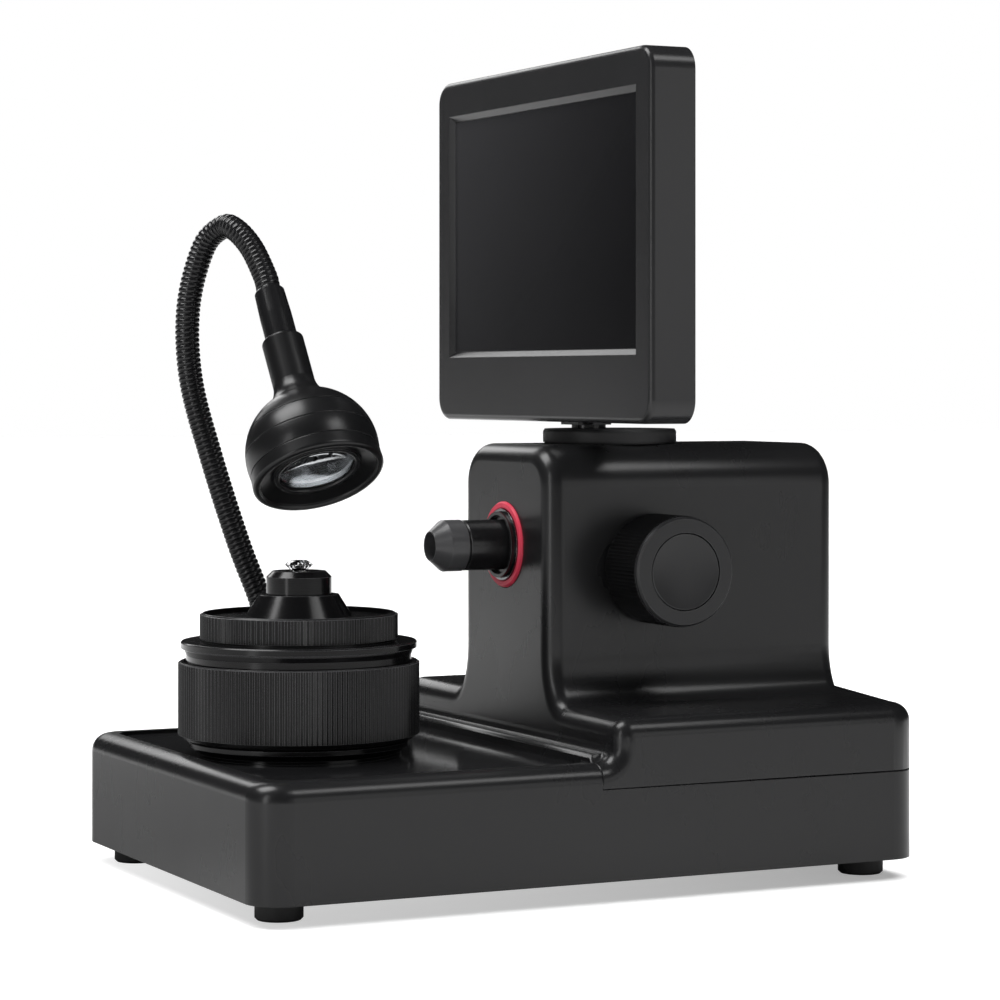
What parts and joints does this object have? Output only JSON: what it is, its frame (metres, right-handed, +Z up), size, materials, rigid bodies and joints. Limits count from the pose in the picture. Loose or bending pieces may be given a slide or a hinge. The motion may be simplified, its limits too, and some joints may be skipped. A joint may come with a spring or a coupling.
{
  "type": "lcd digital microscope",
  "caption": "Desk microscope with a side-looking focusing objective, knurled lift stage with turning table, gooseneck lamp and a screen on a turntable.",
  "frame": {"origin": "centre of the base's outline at table level, under the feet", "axes": "+X to the user's right (focus knob side), +Y to the rear, +Z up"},
  "size_m": [0.1292, 0.185, 0.2132],
  "materials": {
    "case_plastic": "fine satin moulding",
    "inner_plastic": "fine moulded",
    "foot_rubber": "dull moulded",
    "screw_steel": "plain",
    "platform_gloss": "polished",
    "anodised_black": "anodised black",
    "ring_red": "anodised red",
    "frame_metal": "milled",
    "rod_steel": "ground",
    "bush_brass": "turned",
    "board_green": "soldermask",
    "lens_glass": "polished",
    "bracket_paint": "semi gloss",
    "screen_face": "glossy display",
    "stage_paint": "anodised black, turned",
    "stone_clear": "faceted, polished",
    "gooseneck_skin": "ribbed matt",
    "lamp_paint": "satin black",
    "led_white": "ceramic and lens",
    "button_grey": "fine moulded"
  },
  "bodies": {
    "base": {"base_tray": "case_plastic", "bottom_plate": "inner_plastic", "rubber_feet": "foot_rubber", "case_screws": "screw_steel", "cover_screws": "screw_steel", "platform_plate": "platform_gloss", "upper_cover": "case_plastic", "port_bush": "anodised_black", "port_ring": "ring_red", "optics_frame": "frame_metal", "guide_rods": "rod_steel", "shaft_bush": "bush_brass", "stage_foot": "stage_paint", "stage_screws": "screw_steel", "lamp_socket": "bracket_paint", "lamp_nut": "rod_steel", "main_board": "board_green", "power_inlet": "inner_plastic", "power_switch": "inner_plastic"},
    "optics": {"camera_tube": "anodised_black", "camera_block": "frame_metal", "sensor_board": "board_green", "focus_rack": "rod_steel", "objective_barrel": "anodised_black", "objective_nose": "anodised_black", "objective_lens": "lens_glass"},
    "focus": {"focus_knob": "anodised_black", "knob_cap": "anodised_black", "focus_shaft": "rod_steel", "focus_pinion": "bush_brass"},
    "screen": {"turntable_disc": "inner_plastic", "turntable_nut": "rod_steel", "monitor_bracket": "bracket_paint", "monitor_case": "case_plastic", "monitor_back": "case_plastic", "lcd_panel": "screen_face", "monitor_board": "board_green", "monitor_screws": "screw_steel"},
    "lift_ring": {"height_ring": "anodised_black"},
    "lift": {"lift_table": "stage_paint"},
    "table": {"turning_table": "anodised_black", "table_plate": "anodised_black", "cone_holder": "stage_paint", "stone_cup": "stage_paint", "sample_stone": "stone_clear"},
    "lamp_arm": {"lamp_ferrule": "bracket_paint", "gooseneck": "gooseneck_skin"},
    "lamp_head": {"lamp_sleeve": "gooseneck_skin", "lamp_shell": "lamp_paint", "lamp_rim": "lamp_paint", "lamp_lens": "lens_glass", "lamp_led": "led_white"},
    "button": {"power_button": "button_grey"}
  },
  "joints": [
    {"name": "screen_swivel", "type": "hinge", "parent": "base", "child": "screen", "pos_m": [0, 0.03465, 0.114], "axis": [0, 0, 1], "range_deg": [-45, 45]},
    {"name": "focus_turn", "type": "hinge", "parent": "base", "child": "focus", "pos_m": [0.0358, 0.033, 0.0797], "axis": [1, 0, 0], "range_deg": [-95.6, 95.6]},
    {"name": "focus_slide", "type": "slide", "parent": "base", "child": "optics", "axis": [0, -1, 0], "range_m": [-0.005, 0.005]},
    {"name": "ring_turn", "type": "hinge", "parent": "base", "child": "lift_ring", "pos_m": [0, -0.0559, 0.047], "axis": [0, 0, 1], "range_deg": [-72.2, 288.4]},
    {"name": "lift_slide", "type": "slide", "parent": "base", "child": "lift", "axis": [0, 0, 1], "range_m": [-0.002, 0.008]},
    {"name": "table_turn", "type": "hinge", "parent": "lift", "child": "table", "pos_m": [0, -0.0559, 0.0657], "axis": [0, 0, 1], "continuous": true},
    {"name": "lamp_swing", "type": "hinge", "parent": "base", "child": "lamp_arm", "pos_m": [-0.051, -0.042, 0.036], "axis": [0, 0, 1], "range_deg": [-60, 5]},
    {"name": "lamp_aim", "type": "hinge", "parent": "lamp_arm", "child": "lamp_head", "pos_m": [-0.049, -0.0564, 0.1708], "axis": [-0.4572, 0.8894, 0], "range_deg": [-15, 5], "deforming": ["gooseneck"]},
    {"name": "power_press", "type": "slide", "parent": "base", "child": "button", "axis": [0, -1, 0], "range_m": [0, 0.0015], "stiffness_N_per_m": 400, "springref_m": -0.0005}
  ],
  "couplings": [
    {"joint": "focus_turn", "follows": "focus_slide", "rad_per_m": 333.33},
    {"joint": "ring_turn", "follows": "lift_slide", "rad_per_m": 628.93}
  ]
}
